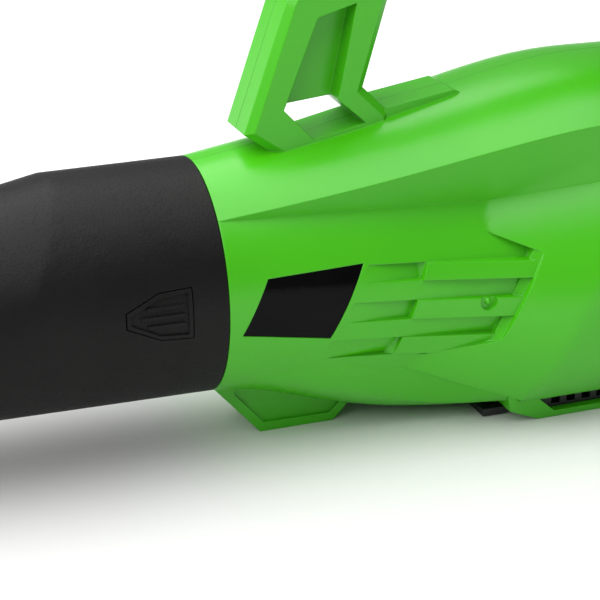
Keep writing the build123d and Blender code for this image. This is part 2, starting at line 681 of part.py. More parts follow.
def duct():
    """Collar, fan tube, intake mouth, stator vanes and motor hub in one moulding."""
    outline = Polyline((-COLLAR_LENGTH, 0, COLLAR_BORE_R), (-COLLAR_LENGTH, 0, COLLAR_R - 1.5),
                       (-COLLAR_LENGTH + 3, 0, COLLAR_R), (-FIT, 0, COLLAR_R), (-FIT, 0, DUCT_R + DUCT_WALL),
                       (DUCT_END, 0, DUCT_R + DUCT_WALL))
    rim = MOUTH_R - DUCT_R
    flare_out = ThreePointArc((DUCT_END, 0, DUCT_R + DUCT_WALL),
                              (DUCT_END + 6.5, 0, DUCT_R + DUCT_WALL + 1.9), (MOUTH_END, 0, MOUTH_R))
    lip = Line((MOUTH_END, 0, MOUTH_R), (MOUTH_END, 0, MOUTH_R - DUCT_WALL))
    flare_in = ThreePointArc((MOUTH_END, 0, MOUTH_R - DUCT_WALL), (DUCT_END + 6.5, 0, DUCT_R + 1.7),
                             (DUCT_END - 1, 0, DUCT_R))
    back = Polyline((DUCT_END - 1, 0, DUCT_R), (HUB_X[0], 0, DUCT_R), (-COLLAR_LENGTH, 0, COLLAR_BORE_R))
    tube = revolve(make_face(outline + flare_out + lip + flare_in + back), Axis.X)
    for sign in (-1, 1):
        y0, y1 = sorted((sign * KEYWAY_FLOOR, sign * (COLLAR_R + 5)))
        tube -= block(-COLLAR_LENGTH - 1, KEYWAY_END, y0, y1, BUTTON_Z - KEYWAY_HALF, BUTTON_Z + KEYWAY_HALF)
    hub = rod(*HUB_X, HUB_R) - rod(HUB_X[0] - 1, MOTOR_X[1] + FIT, HUB_R - HUB_WALL)
    hub -= rod(MOTOR_X[1], HUB_X[1] + 1, BEARING_R + 1)
    vane_length = (VANE_X[1] - VANE_X[0]) / cos(radians(VANE_PITCH))
    middle = sum(VANE_X) / 2
    radii, chords, pitches = (HUB_R - 0.8, DUCT_R + 1.0), (vane_length,) * 2, (VANE_PITCH,) * 2
    vane = blade(middle, *radii, *chords, *pitches, VANE_THICK)
    for n in range(VANES):
        tube += Rot(X=360 / VANES * (n + 0.5)) * vane
    tube += hub
    tube -= rod(HUB_X[0] - 1, MOTOR_X[1] + FIT, HUB_R - HUB_WALL)
    tube -= block(LEAD_X - 4.5, LEAD_X + 6, -LEAD_PITCH - 2.2, LEAD_PITCH + 2.2, HUB_R - HUB_WALL - 2, 60)
    for angle in MOTOR_SCREW_ANGLES:
        tube -= Rot(X=angle) * rod(MOTOR_X[1] - 1, HUB_X[1] + 1, 1.1, z=MOTOR_SCREW_R)
    return tube


def blade(x, r0, r1, chord0, chord1, pitch0, pitch1, thick):
    """A straight twisted blade that stands up from the axis, between two radii."""
    ends = [Pos(x, 0, r) * Rot(Z=pitch) * Rectangle(chord, thick)
            for r, chord, pitch in ((r0, chord0, pitch0), (r1, chord1, pitch1))]
    return loft(ends, ruled=True) & (rod(x - 60, x + 60, r1))


def fan():
    x0, x1 = FAN_X
    cup = rod(x0, x1, FAN_HUB_R) - rod(x0 - 1, x1 - FAN_WALL - 1, FAN_HUB_R - FAN_WALL)
    cup = chamfer(cup.edges().group_by(Axis.X)[-1], 1.8)
    cup += rod(x0 + 1, x1 - 1, FAN_BOSS_R)
    one = blade((x0 + x1) / 2, FAN_HUB_R - 1.2, FAN_R, FAN_CHORD[0], FAN_CHORD[1], FAN_PITCH[0], FAN_PITCH[1],
                BLADE_THICK)
    for n in range(BLADES):
        cup += Rot(X=360 / BLADES * n) * one
    return cup - rod(x0 - 1, x1 + 1, SHAFT_R + SHAFT_PLAY)


def motor_can():
    x0, x1 = MOTOR_X
    can = rod(x0, x1, MOTOR_R) - rod(x0 + MOTOR_WALL, x1 + 1, MOTOR_R - MOTOR_WALL)
    can += rod(x0 + MOTOR_WALL - 0.5, x0 + MOTOR_WALL + BEARING_WIDTH, BEARING_R + 2)
    can -= rod(x0 + MOTOR_WALL, x0 + 20, BEARING_R + SHAFT_PLAY)
    for n in range(8):
        can -= Rot(X=45 * n + 22.5) * block(x0 + 12, x0 + 26, -2.2, 2.2, MOTOR_R - 4, MOTOR_R + 1)
    return can


def motor_end_bell():
    x1 = MOTOR_X[1]
    bell = rod(x1 - BEARING_WIDTH - 1, x1, BEARING_R + 2) + rod(x1 - 2, x1, MOTOR_R - MOTOR_WALL - FIT)
    bell -= rod(x1 - BEARING_WIDTH - 2, x1 + 1, BEARING_R + SHAFT_PLAY)
    for angle in MOTOR_SCREW_ANGLES:
        bell -= Rot(X=angle) * rod(x1 - 3, x1 + 1, 1.0, z=MOTOR_SCREW_R)
    return bell


def motor_screws():
    made = []
    for angle in MOTOR_SCREW_ANGLES:
        screw = rod(MOTOR_X[1] - 1.8, HUB_X[1], 0.95, z=MOTOR_SCREW_R)
        screw += rod(HUB_X[1] + 0.05, HUB_X[1] + 1.6, 1.9, z=MOTOR_SCREW_R)
        screw += rod(HUB_X[1] - 0.5, HUB_X[1] + 0.5, 0.95, z=MOTOR_SCREW_R)
        made.append(Rot(X=angle) * screw)
    return made


def stator():
    x0, x1 = CORE_X
    ring = rod(x0, x1, MOTOR_R - MOTOR_WALL - FIT) - rod(x0 - 1, x1 + 1, MAGNET_R + 0.6)
    for n in range(6):
        ring -= Rot(X=60 * n) * block(x0 - 1, x1 + 1, -2.6, 2.6, MAGNET_R + 2.2, MOTOR_R - MOTOR_WALL - 2.0)
    return ring


def windings():
    x0, x1 = CORE_X
    coil = block(x0 - 2, x1 + 2, -2.4, 2.4, MAGNET_R + 2.4, MOTOR_R - MOTOR_WALL - 2.2)
    return [Rot(X=60 * n) * coil for n in range(6)]


def magnet_rotor():
    return rod(CORE_X[0] + 1, CORE_X[1] - 1, MAGNET_R) - rod(0, 99, SHAFT_R + SHAFT_PLAY)


def motor_shaft():
    shaft = rod(*SHAFT_X, SHAFT_R)
    return chamfer(shaft.edges().filter_by(GeomType.CIRCLE), 0.4)


def bearings():
    x0, x1 = MOTOR_X[0] + MOTOR_WALL, MOTOR_X[1]
    spans = ((x0 + 0.05, x0 + BEARING_WIDTH), (x1 - BEARING_WIDTH, x1 - 0.05))
    return [rod(*span, BEARING_R) - rod(span[0] - 1, span[1] + 1, SHAFT_R + SHAFT_PLAY) for span in spans]


def fan_nut():
    x = FAN_X[1] + 0.05
    hexagon = Plane(origin=(x, 0, 0), z_dir=(1, 0, 0)) * RegularPolygon(NUT_WIDTH / sqrt(3), 6)
    return extrude(hexagon, amount=4.0) - rod(x - 1, x + 5, SHAFT_R + SHAFT_PLAY)


def tail_cone():
    def profile(inset):
        tip, base = CONE_TIP_X + inset, HUB_X[0]
        radius = HUB_R - inset
        curve = EllipticalCenterArc((base, 0), base - tip, radius, start_angle=90, arc_size=90)
        return revolve(Plane.XZ * make_face(curve + Polyline((tip, 0), (base, 0), (base, radius))), Axis.X)

    plug = rod(HUB_X[0] - 2, HUB_X[0] + 3.5, HUB_R - HUB_WALL - FIT) - rod(-5, 99, HUB_R - HUB_WALL - 2)
    shell = profile(0) - profile(HUB_WALL)
    return (shell & block(-BIG, HUB_X[0] - FIT, -BIG, BIG, -BIG, BIG)) + plug


def nozzle_form(inset, x_end, x_tip):
    """The nozzle's outer form, or its bore when inset."""
    crease = slanted_disc(CREASE_X, SEAM_R + TUBE_TAPER * CREASE_X - inset, 0, CREASE_LEAN)
    rear = loft([crease, disc(x_end, SEAM_R - inset)], ruled=True)
    outlet_x = NOZZLE_TIP + OUTLET_LENGTH
    front = loft([disc(outlet_x, OUTLET_R - inset, OUTLET_Z), crease], ruled=True)
    return rear + front + rod(x_tip, outlet_x, OUTLET_R - inset, z=OUTLET_Z)


def nozzle():
    tube = nozzle_form(0, -RUN, NOZZLE_TIP) - nozzle_form(NOZZLE_WALL, 5, NOZZLE_TIP - 1)
    tube -= rod(-COLLAR_LENGTH - 3, 5, COLLAR_R + RUN)
    window = prism(button_outline(RUN), -OUTSIDE, -30)
    return tube - window - mirror(window, Plane.XZ)


def button_outline(grow=0.0):
    (x0, x1), (bend, rear) = BUTTON_X, BUTTON_HALF
    points = [(x0 - grow, BUTTON_NOSE_HALF + 0.7 * grow), (BUTTON_NOSE_X, bend + grow),
              (x1 + grow, rear + grow)]
    return [(x, BUTTON_Z + z) for x, z in points] + [(x, BUTTON_Z - z) for x, z in reversed(points)]


def release_button():
    """The left button, its face dished inside a rim, with three ribs for the thumb."""
    skin = nozzle_form(-0.3, 2, NOZZLE_TIP)
    cap = prism(button_outline(), -OUTSIDE, -BUTTON_BACK) & skin
    dish = prism(button_outline(-BUTTON_RIM), -OUTSIDE, -30) - nozzle_form(BUTTON_DISH - 0.3, 2, NOZZLE_TIP)
    (x0, x1) = BUTTON_X
    for n in (-1, 0, 1):
        z = BUTTON_Z + n * BUTTON_RIB_PITCH
        start = x0 + (5.5 if n == 0 else 8.0)
        dish -= block(start, x1 - 3.0, -OUTSIDE, -30, z - BUTTON_RIB / 2, z + BUTTON_RIB / 2)
    cap -= dish
    for sign in (-1, 1):
        z0, z1 = sorted((BUTTON_Z + sign * RUNNER_Z[0], BUTTON_Z + sign * RUNNER_Z[1]))
        cap += block(x0 + 8, x1 - 1, -BUTTON_BACK - 0.2, -RAIL_FOOT, z0, z1)
        cap += block(x0 - RUNNER_OVER, x1 + RUNNER_OVER, -RAIL_FOOT - 0.7, -RAIL_FOOT, z0, z1)
    return cap


def release_spring():
    x0, x1 = BUTTON_X
    top = BUTTON_BACK - 0.1
    return block(x0 - 6, x1 + 5, -top, -top + SPRING_THICK, BUTTON_Z - SPRING_HALF, BUTTON_Z + SPRING_HALF)


def trigger():
    body = prism(TRIGGER, -TRIGGER_HALF, TRIGGER_HALF)
    front = body.edges().filter_by(Axis.Y).sort_by(Axis.Z)[:3]
    body = fillet(front, 2.2)
    return body - cross_rod(*TRIGGER_PIN, -20, 20, TRIGGER_PIN_R + 0.05)


def trigger_pin():
    reach = HANDLE_HALF - PIN_SKIN - FIT
    return cross_rod(*TRIGGER_PIN, -reach, reach, TRIGGER_PIN_R)


def trigger_switch():
    x0, z0, x1, z1 = SWITCH
    body = block(x0, x1, -SWITCH_HALF, SWITCH_HALF, z0, z1)
    return body - Pos(PLUNGER_X, 0, z0 + 4.5) * Cylinder(PLUNGER_R + 0.3, 15)


def switch_plunger():
    return Pos(PLUNGER_X, 0, PLUNGER_REST + PLUNGER_LENGTH / 2) * Cylinder(PLUNGER_R, PLUNGER_LENGTH)


def trigger_spring():
    """A flat strip from the handle's rear rib down to the trigger's arm."""
    x0, z0, x1, z1 = SWITCH
    return block(x1 - 26.0, x1 - 6.5, 3.4, 6.0, z0 - 0.6, z0 - FIT)


def boost_button():
    cap = Pos(0, 0, BOOST_PROUD - BOOST_LENGTH / 2) * Cylinder(BOOST_R, BOOST_LENGTH)
    cap = fillet(cap.edges().group_by(Axis.Z)[-1], 1.2)
    flange_z = BOOST_PROUD - BOOST_LENGTH + BOOST_FLANGE / 2
    cap += Pos(0, 0, flange_z) * Cylinder(BOOST_R + BOOST_FLANGE, BOOST_FLANGE)
    return boost_frame() * cap


def boost_spring():
    low = -BOOST_SEAT + FIT
    high = BOOST_PROUD - BOOST_LENGTH - FIT
    return boost_frame() * (Pos(0, 0, (low + high) / 2) * (Cylinder(3.0, high - low) - Cylinder(2.2, BIG)))


def pack_outer():
    body = block(PACK_X[0], PACK_X[1], -PACK_HALF, PACK_HALF, PACK_Z[0], PACK_Z[1])
    return body


def pack_form():
    body = pack_outer()
    body = chamfer(body.edges().filter_by(Axis.X), 2.5)
    body = fillet(body.faces().sort_by(Axis.X)[-1].edges(), 3.0)
    for sign in (-1, 1):
        y0, y1 = sorted((sign * (PACK_HALF - RAIL_DEPTH), sign * (PACK_HALF + 5)))
        body -= block(PACK_X[0] - 1, TAIL_X + 1, y0, y1, RAIL_Z, RAIL_Z + RAIL_HEIGHT)
    return body


def pack_room():
    """The pack's inside, a wall in from every face and from the rail grooves."""
    x0, x1 = PACK_X
    room = block(x0 + PACK_WALL, x1 - PACK_WALL, -PACK_HALF + PACK_WALL, PACK_HALF - PACK_WALL,
                 PACK_Z[0] + PACK_WALL, PACK_Z[1] - PACK_WALL)
    for sign in (-1, 1):
        y0, y1 = sorted((sign * (PACK_HALF - RAIL_DEPTH - PACK_WALL), sign * PACK_HALF))
        room -= block(x0, x1, y0, y1, RAIL_Z - PACK_WALL, RAIL_Z + RAIL_HEIGHT + PACK_WALL)
    return room


def pack_tub():
    return (pack_form() - pack_room()) & block(-BIG, BIG, -BIG, BIG, -BIG, PACK_SPLIT_Z - FIT / 2)


def pack_lid():
    lid = (pack_form() - pack_room()) & block(-BIG, BIG, -BIG, BIG, PACK_SPLIT_Z + FIT / 2, BIG)
    for y in TERMINAL_Y:
        lid -= block(PACK_X[0] - 1, PACK_X[0] + PACK_WALL + 1, y - 1.2, y + 1.2,
                     TERMINAL_Z[0] + 2, TERMINAL_Z[1] - 2)
    x0, x1 = LATCH_X
    lid -= block(x0 - RUN, x1 + RUN, -LATCH_HALF - RUN, LATCH_HALF + RUN, PACK_Z[1] - 4, BIG)
    return lid


def pack_latch():
    """A push button in the pack's top, just behind the tail."""
    x0, x1 = LATCH_X
    cap = block(x0, x1, -LATCH_HALF, LATCH_HALF, PACK_Z[1] - PACK_WALL - 1, PACK_Z[1] + 1.2)
    cap = chamfer(cap.faces().sort_by(Axis.Z)[-1].edges(), 0.8)
    cap += block(x0 - 2.5, x1 + 2.5, -LATCH_HALF - 2.5, LATCH_HALF + 2.5, PACK_Z[1] - PACK_WALL - 1.8,
                 PACK_Z[1] - PACK_WALL - 0.5)
    for n in range(3):
        x = x0 + 4 + 4 * n
        cap -= block(x - 0.7, x + 0.7, -LATCH_HALF + 2, LATCH_HALF - 2, PACK_Z[1] + 0.6, BIG)
    return cap


def pack_latch_spring():
    x = sum(LATCH_X) / 2
    high = PACK_Z[1] - PACK_WALL - 1.8 - FIT
    low = cell_top() + 1.2 + FIT
    return [Pos(x, 0, (low + high) / 2) * (Cylinder(3.2, high - low) - Cylinder(2.4, BIG))]


def cell_centres():
    x0 = PACK_X[0] + PACK_WALL + 8.0 + CELL_R
    z0 = PACK_Z[0] + PACK_WALL + 0.4 + CELL_R
    return [(x0 + CELL_PITCH * column, z0 + CELL_PITCH * row)
            for row in range(CELL_ROWS) for column in range(CELL_COLUMNS)]


def cell_top():
    return cell_centres()[-1][1] + CELL_R


def cells():
    return [cross_rod(x, z, -CELL_LENGTH / 2, CELL_LENGTH / 2, CELL_R) for x, z in cell_centres()]


def cell_links():
    """Nickel strips that join the cells' ends in pairs."""
    centres = cell_centres()
    strips = []
    for side in (-1, 1):
        for column in range(CELL_COLUMNS):
            x, low = centres[column]
            high = centres[CELL_COLUMNS + column][1]
            y0, y1 = sorted((side * (CELL_LENGTH / 2 + 0.05), side * (CELL_LENGTH / 2 + 0.35)))
            strips.append(block(x - 3.5, x + 3.5, y0, y1, low - 4, high + 4))
    return strips


def pack_contacts():
    """Sprung clips behind the slots in the pack's front wall."""
    x0 = PACK_X[0] + PACK_WALL + FIT
    clips = []
    for y in TERMINAL_Y:
        for side in (-1, 1):
            y0, y1 = sorted((y + side * 0.75, y + side * 1.35))
            clips.append(block(x0, x0 + 7.0, y0, y1, TERMINAL_Z[0] + 2.5, TERMINAL_Z[1] - 2.5))
    return clips


def terminal_block():
    """Set in the bay's front wall, with blades that reach into the pack's slots."""
    body = block(BAY_X - 9, BAY_X - FIT, -TERMINAL_HALF, TERMINAL_HALF, *TERMINAL_Z)
    for y in TERMINAL_Y:
        body -= block(BAY_X - 8, BAY_X + 1, y - 0.4 - FIT / 2, y + 0.4 + FIT / 2, TERMINAL_Z[0] + 3 - FIT / 2,
                      TERMINAL_Z[1] - 3 + FIT / 2)
    return body


def terminal_blades():
    return [block(BAY_X - 7.9, PACK_X[0] + 7.5, y - 0.4, y + 0.4, TERMINAL_Z[0] + 3, TERMINAL_Z[1] - 3)
            for y in TERMINAL_Y]


def control_board():
    board = block(*BOARD_X, -BOARD_HALF, BOARD_HALF, BOARD_Z, BOARD_Z + 1.6)
    parts = [Pos(x, y, BOARD_Z + 1.55 + h / 2) * Cylinder(r, h) for x, y, r, h in
             ((BOARD_X[0] + 9, 12, 4.0, 9.0), (BOARD_X[0] + 9, -12, 4.0, 9.0))]
    chip = block(BOARD_X[1] - 15, BOARD_X[1] - 8, -5, 3, BOARD_Z + 1.5, BOARD_Z + 2.8)
    return board + parts[0] + parts[1] + chip


def heat_sink():
    x0 = BOARD_X[0] + 16
    base = block(x0, x0 + 16, -16, 16, BOARD_Z + 1.6 + FIT, BOARD_Z + 3.4)
    for n in range(6):
        y = -15 + 5.6 * n
        base += block(x0, x0 + 16, y, y + 1.4, BOARD_Z + 3, BOARD_Z + 9)
    return base


def lead(points, radius):
    """A wire along straight runs joined by tangent arcs, each as large as its runs allow."""
    points = [Vector(*p) for p in points]
    radii = []
    for before, here, after in zip(points, points[1:], points[2:]):
        one, two = here - before, after - here
        turn = radians(one.get_angle(two))
        radii.append(0.45 * min(one.length, two.length) / tan(turn / 2))
    print("lead radii", [round(r, 1) for r in radii])
    path = FilletPolyline(*points, radius=radii) if radii else Line(*points)
    return sweep(Plane(origin=path @ 0, z_dir=path % 0) * Circle(radius), path=path)


def motor_leads():
    start = MOTOR_R + FIT
    return [lead([(LEAD_X, y, start), (LEAD_X, y, 50.8), (LEAD_X + 32, y, 51.0), (140, y, 54.5),
                  (BOARD_X[0] - 0.3, y, BOARD_Z + 0.8)], LEAD_R) for y in (-LEAD_PITCH, 0, LEAD_PITCH)]


def battery_leads():
    z0 = TERMINAL_Z[1] + FIT
    return [lead([(BAY_X - 5, y, z0), (BAY_X - 5, y, z0 + 17),
                  (BOARD_X[0] + 7, y, BOARD_Z - LEAD_R - 0.3)], LEAD_R)
            for y in (-8, 8)]


def switch_leads():
    x, z = SWITCH[2] + 0.3, SWITCH[3] - 8
    route = [(x, z), (x + 30, z - 2), (x + 63, z - 16), (x + 81, z - 44), (x + 89, z - 73), (x + 85, z - 90),
             (BOARD_X[1] - 3, BOARD_Z + 1.6 + SWITCH_LEAD_R + 0.6)]
    return [lead([(px, y, pz) for px, pz in route], SWITCH_LEAD_R) for y in (-2.6, 2.6)]


left = left_shell()
print("left", round(left.volume), len(left.solids()), left.is_valid)
right = right_shell(left)
print("right", round(right.volume), len(right.solids()), right.is_valid)

NODES = {
    "housing_left": left,
    "housing_right": right,
    "name_plate_left": name_plate(),
    "name_plate_right": mirror(name_plate(), Plane.XZ),
    "nozzle_tube": nozzle(),
    "release_button_left": release_button(),
    "release_button_right": mirror(release_button(), Plane.XZ),
    "release_spring_left": release_spring(),
    "release_spring_right": mirror(release_spring(), Plane.XZ),
    "intake_grille": intake_grille(),
    "fan_duct": duct(),
    "tail_cone": tail_cone(),
    "fan_rotor": fan(),
    "fan_nut": fan_nut(),
    "motor_shaft": motor_shaft(),
    "motor_bearings": bearings(),
    "motor_can": motor_can(),
    "motor_end_bell": motor_end_bell(),
    "motor_stator": stator(),
    "motor_windings": windings(),
    "magnet_rotor": magnet_rotor(),
    "motor_screws": motor_screws(),
    "hand_grip": grip_sleeve(),
    "trigger": trigger(),
    "trigger_pin": trigger_pin(),
    "trigger_spring": trigger_spring(),
    "trigger_switch": trigger_switch(),
    "switch_plunger": switch_plunger(),
    "boost_button": boost_button(),
    "boost_spring": boost_spring(),
    "battery_case": pack_tub(),
    "battery_lid": pack_lid(),
    "battery_latch_button": pack_latch(),
    "battery_latch_spring": pack_latch_spring(),
    "battery_cells": cells(),
    "cell_links": cell_links(),
    "battery_contacts": pack_contacts(),
    "terminal_block": terminal_block(),
    "terminal_blades": terminal_blades(),
    "control_board": control_board(),
    "heat_sink": heat_sink(),
    "motor_leads": motor_leads(),
    "battery_leads": battery_leads(),
    "switch_leads": switch_leads(),
    "housing_screws": screws(),
}

CENTRE_X = (NOZZLE_TIP + PACK_X[1]) / 2
for name, shape in NODES.items():
    shapes = shape if isinstance(shape, list) else [shape]
    solid = group(*[Pos(-CENTRE_X, 0, -GROUND) * one for one in shapes])
    export_step(solid, f"parts/{name}.step")
    print(name, len(solid.solids()), round(solid.volume))
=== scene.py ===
import json
import math

import bmesh
import bpy
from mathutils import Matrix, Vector

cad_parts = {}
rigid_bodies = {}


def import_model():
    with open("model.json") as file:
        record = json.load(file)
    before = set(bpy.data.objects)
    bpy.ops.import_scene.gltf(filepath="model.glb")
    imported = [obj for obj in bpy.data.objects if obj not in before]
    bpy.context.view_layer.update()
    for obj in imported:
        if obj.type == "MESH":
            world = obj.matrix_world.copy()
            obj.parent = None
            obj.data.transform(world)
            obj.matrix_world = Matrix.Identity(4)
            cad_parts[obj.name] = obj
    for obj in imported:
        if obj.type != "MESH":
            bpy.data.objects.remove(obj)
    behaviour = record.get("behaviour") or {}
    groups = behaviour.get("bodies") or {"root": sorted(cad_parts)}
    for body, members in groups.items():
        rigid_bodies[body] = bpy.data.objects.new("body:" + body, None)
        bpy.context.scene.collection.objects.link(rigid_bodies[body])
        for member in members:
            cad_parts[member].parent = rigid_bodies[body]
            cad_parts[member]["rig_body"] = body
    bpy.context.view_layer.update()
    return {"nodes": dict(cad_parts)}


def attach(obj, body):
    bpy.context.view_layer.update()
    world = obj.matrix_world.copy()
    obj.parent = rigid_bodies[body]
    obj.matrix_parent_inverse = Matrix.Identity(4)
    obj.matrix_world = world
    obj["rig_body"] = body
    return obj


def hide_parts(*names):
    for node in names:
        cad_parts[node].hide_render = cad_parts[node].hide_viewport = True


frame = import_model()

bl_info = {
    "name": "Leaf blower finishes",
    "version": (1, 0, 0),
    "blender": (4, 5, 0),
    "location": "3D View > Sidebar > Leaf blower",
    "description": "Finishes the parts of a cordless leaf blower and lights them for a studio picture",
    "category": "Object",
}

MM = 0.001
NODES = frame["nodes"]

WELD_DISTANCE = 0.002 * MM  # triangle corners nearer than this are one corner
SLIVER_LENGTH = 0.001 * MM  # edges shorter than this are dissolved
PATCH_ENDS = (0.35, 0.65)  # noise values where a mottle reaches its first and second colours
PATTERN_ENDS = (0.3, 0.7)  # pattern values where the gloss reaches its two roughnesses
BEVEL_SAMPLES = 8
WAVE_RADIANS = 20  # the Wave node's own factor on its scaled coordinate

FLOOR_SEGMENTS = 96
SENSOR_WIDTH = 36.0  # in millimetres
CLIP_START, CLIP_END = 0.01, 50.0  # in metres


# ---------------------------------------------------------------- helpers


def linear(hex_colour):
    """Turn an sRGB hex colour into the linear colour that shaders take."""
    values = [int(hex_colour[i:i + 2], 16) / 255 for i in (1, 3, 5)]
    return tuple(v / 12.92 if v <= 0.04045 else ((v + 0.055) / 1.055) ** 2.4 for v in values) + (1.0,)


def add_node(tree, kind, inputs=(), **settings):
    """Add a shader node with its settings, and set or link its inputs."""
    made = tree.nodes.new(kind)
    for name, value in settings.items():
        setattr(made, name, value)
    for name, value in dict(inputs).items():
        if isinstance(value, bpy.types.NodeSocket):
            tree.links.new(value, made.inputs[name])
        else:
            made.inputs[name].default_value = value
    return made


def new_material(name, metallic, roughness, ior=1.5):
    """A material with one Principled shader wired to its output."""
    material = bpy.data.materials.new(name)
    material.use_nodes = True
    tree = material.node_tree
    tree.nodes.clear()
    shader = add_node(tree, "ShaderNodeBsdfPrincipled",
                      {"Metallic": metallic, "Roughness": roughness, "IOR": ior})
    add_node(tree, "ShaderNodeOutputMaterial", {"Surface": shader.outputs["BSDF"]})
    return material, tree, shader


def mottle(tree, shader, position, first, second, size_mm, detail=3.0):
    """Blend two near colours in soft patches of a real size."""
    noise = add_node(tree, "ShaderNodeTexNoise",
                     {"Vector": position, "Scale": 1 / (size_mm * MM), "Detail": detail})
    ramp = add_node(tree, "ShaderNodeValToRGB", {"Fac": noise.outputs["Fac"]})
    for stop, end, colour in zip(ramp.color_ramp.elements, PATCH_ENDS, (first, second)):
        stop.position, stop.color = end, linear(colour)
    tree.links.new(ramp.outputs["Color"], shader.inputs["Base Color"])
    return noise


def vary_roughness(tree, shader, source, low, high):
    """Let the gloss wander between two roughnesses with a pattern."""
    start, end = PATTERN_ENDS
    spread = add_node(tree, "ShaderNodeMapRange",
                      {"Value": source, "From Min": start, "From Max": end, "To Min": low, "To Max": high})
    tree.links.new(spread.outputs["Result"], shader.inputs["Roughness"])


def grain(tree, shader, source, depth_mm, strength, edge_mm):
    """Raise a fine grain on the surface and soften its hard edges by a real radius."""
    edge = add_node(tree, "ShaderNodeBevel", {"Radius": edge_mm * MM}, samples=BEVEL_SAMPLES)
    bump = add_node(tree, "ShaderNodeBump",
                    {"Height": source, "Distance": depth_mm * MM, "Strength": strength,
                     "Normal": edge.outputs["Normal"]})
    tree.links.new(bump.outputs["Normal"], shader.inputs["Normal"])


def object_position(tree):
    """The place on the part itself, so that a pattern keeps its real size and moves with the part."""
    return add_node(tree, "ShaderNodeTexCoord").outputs["Object"]


def stretched(tree, position, along=1.0, across=1.0):
    """Stretch a pattern along or across the blower's length, as drawing and turning leave it.

    A share below one makes the pattern that much longer in its direction.
    """
    mapping = add_node(tree, "ShaderNodeMapping", {"Vector": position, "Scale": (along, across, across)})
    return mapping.outputs["Vector"]


def dress(node, piece, material, soft_angle):
    """Put a finished copy in a CAD part's place, with its triangles joined and its round faces smooth."""
    source = NODES[node]
    mesh = source.data.copy()
    mesh.name = piece
    body = bmesh.new()
    body.from_mesh(mesh)
    bmesh.ops.remove_doubles(body, verts=body.verts, dist=WELD_DISTANCE)
    bmesh.ops.dissolve_degenerate(body, edges=body.edges, dist=SLIVER_LENGTH)
    for face in body.faces:
        face.smooth = True
    for edge in body.edges:
        edge.smooth = len(edge.link_faces) == 2 and edge.calc_face_angle(math.pi) < soft_angle
    body.to_mesh(mesh)
    body.free()
    mesh.materials.clear()
    mesh.materials.append(material)
    finished = bpy.data.objects.new(piece, mesh)
    bpy.context.scene.collection.objects.link(finished)
    weighted = finished.modifiers.new("Weighted normals", "WEIGHTED_NORMAL")
    weighted.keep_sharp = True
    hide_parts(node)
    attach(finished, source["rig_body"])
    return finished


def dress_all(parts, material, settings):
    """Dress several CAD parts that share one finish."""
    for node, piece in parts:
        dress(node, piece, material, settings.soft_angle)
    return {"FINISHED"}


# ---------------------------------------------------------------- finishes


def satin_green_abs(finish):
    """Injection-moulded ABS from a fine spark-eroded tool: a soft wide highlight, a barely visible grain."""
    material, tree, shader = new_material("Satin moulded ABS, leaf green",
                                          metallic=0.0, roughness=0.3, ior=1.53)
    shader.inputs["Specular IOR Level"].default_value = 0.42
    position = object_position(tree)
    mottle(tree, shader, position, finish.shell_colour_dark, finish.shell_colour, size_mm=70)
    # The real grain is 0.1 mm; it is drawn at a coarser size so that it still breaks up the highlight.
    spark = add_node(tree, "ShaderNodeTexNoise",
                     {"Vector": position, "Scale": 1 / (finish.shell_grain * MM), "Detail": 2.0})
    vary_roughness(tree, shader, spark.outputs["Fac"], low=0.28, high=0.33)
    grain(tree, shader, spark.outputs["Fac"], depth_mm=0.012, strength=0.2, edge_mm=0.7)
    return material


def grained_black_polypropylene(finish):
    """Blow-moulded polypropylene with a coarse leather grain: a dull grey sheen on a soft black."""
    material, tree, shader = new_material("Grained polypropylene, black",
                                          metallic=0.0, roughness=0.5, ior=1.49)
    shader.inputs["Specular IOR Level"].default_value = 0.17
    position = object_position(tree)
    mottle(tree, shader, position, "#0C0B0B", "#111010", size_mm=35)
    cells = add_node(tree, "ShaderNodeTexVoronoi",
                     {"Vector": position, "Scale": 1 / (finish.nozzle_grain * MM)}, feature="SMOOTH_F1")
    vary_roughness(tree, shader, cells.outputs["Distance"], low=0.46, high=0.56)
    grain(tree, shader, cells.outputs["Distance"], depth_mm=0.12, strength=0.7, edge_mm=0.5)
    return material


def polished_black_abs():
    """ABS from a polished tool: a clear reflection, hazed a little by wiping marks."""
    material, tree, shader = new_material("Polished moulded ABS, black",
                                          metallic=0.0, roughness=0.12, ior=1.53)
    shader.inputs["Specular IOR Level"].default_value = 0.08
    position = object_position(tree)
    mottle(tree, shader, position, "#030304", "#060607", size_mm=20)
    strokes = stretched(tree, position, along=0.15)
    wiped = add_node(tree, "ShaderNodeTexNoise", {"Vector": strokes, "Scale": 1 / (1.5 * MM), "Detail": 4.0})
    vary_roughness(tree, shader, wiped.outputs["Fac"], low=0.10, high=0.2)
    grain(tree, shader, wiped.outputs["Fac"], depth_mm=0.004, strength=0.15, edge_mm=0.3)
    return material


def moulded_black_abs():
    """ABS from a plain ground tool: a dark even satin."""
    material, tree, shader = new_material("Moulded ABS, black", metallic=0.0, roughness=0.4, ior=1.53)
    position = object_position(tree)
    mottle(tree, shader, position, "#17181A", "#1E1F21", size_mm=30)
    spark = add_node(tree, "ShaderNodeTexNoise",
                     {"Vector": position, "Scale": 1 / (0.9 * MM), "Detail": 2.0})
    vary_roughness(tree, shader, spark.outputs["Fac"], low=0.36, high=0.48)
    grain(tree, shader, spark.outputs["Fac"], depth_mm=0.03, strength=0.3, edge_mm=0.5)
    return material


